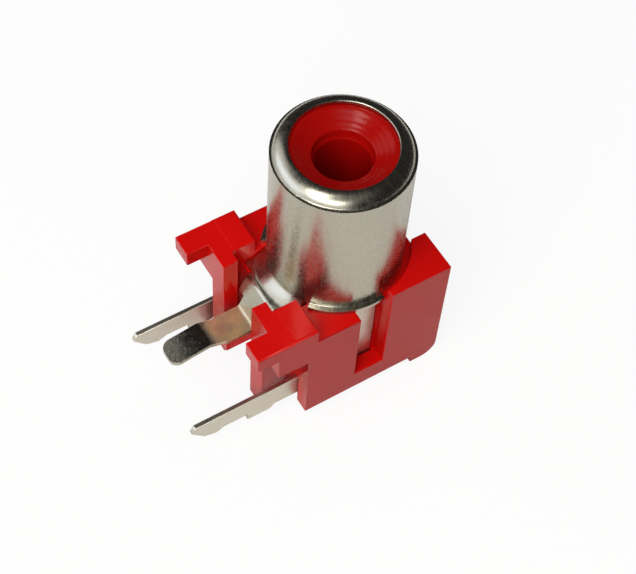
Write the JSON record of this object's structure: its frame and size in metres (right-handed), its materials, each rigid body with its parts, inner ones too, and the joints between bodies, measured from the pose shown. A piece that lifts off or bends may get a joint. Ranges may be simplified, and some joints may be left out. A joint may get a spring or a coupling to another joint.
{
  "type": "phono socket",
  "caption": "Right-angle phono socket for a printed board: a plated plug sleeve on a red moulded housing, with a folded ground tab and flat signal pins.",
  "frame": {"origin": "on the plug axis, in the plane that the back rests on", "axes": "+Z out of the plug mouth, -X towards the board, +Y across the width"},
  "size_m": [0.0172, 0.01, 0.0191],
  "materials": {
    "red_moulding": "moulded, smooth, semi-gloss",
    "plated_steel": "drawn sheet, bright plated",
    "tinned_brass": "stamped strip, dull tinned"
  },
  "bodies": {
    "root": {"housing": "red_moulding", "ground_sleeve": "plated_steel", "tip_contact": "tinned_brass"}
  },
  "joints": []
}
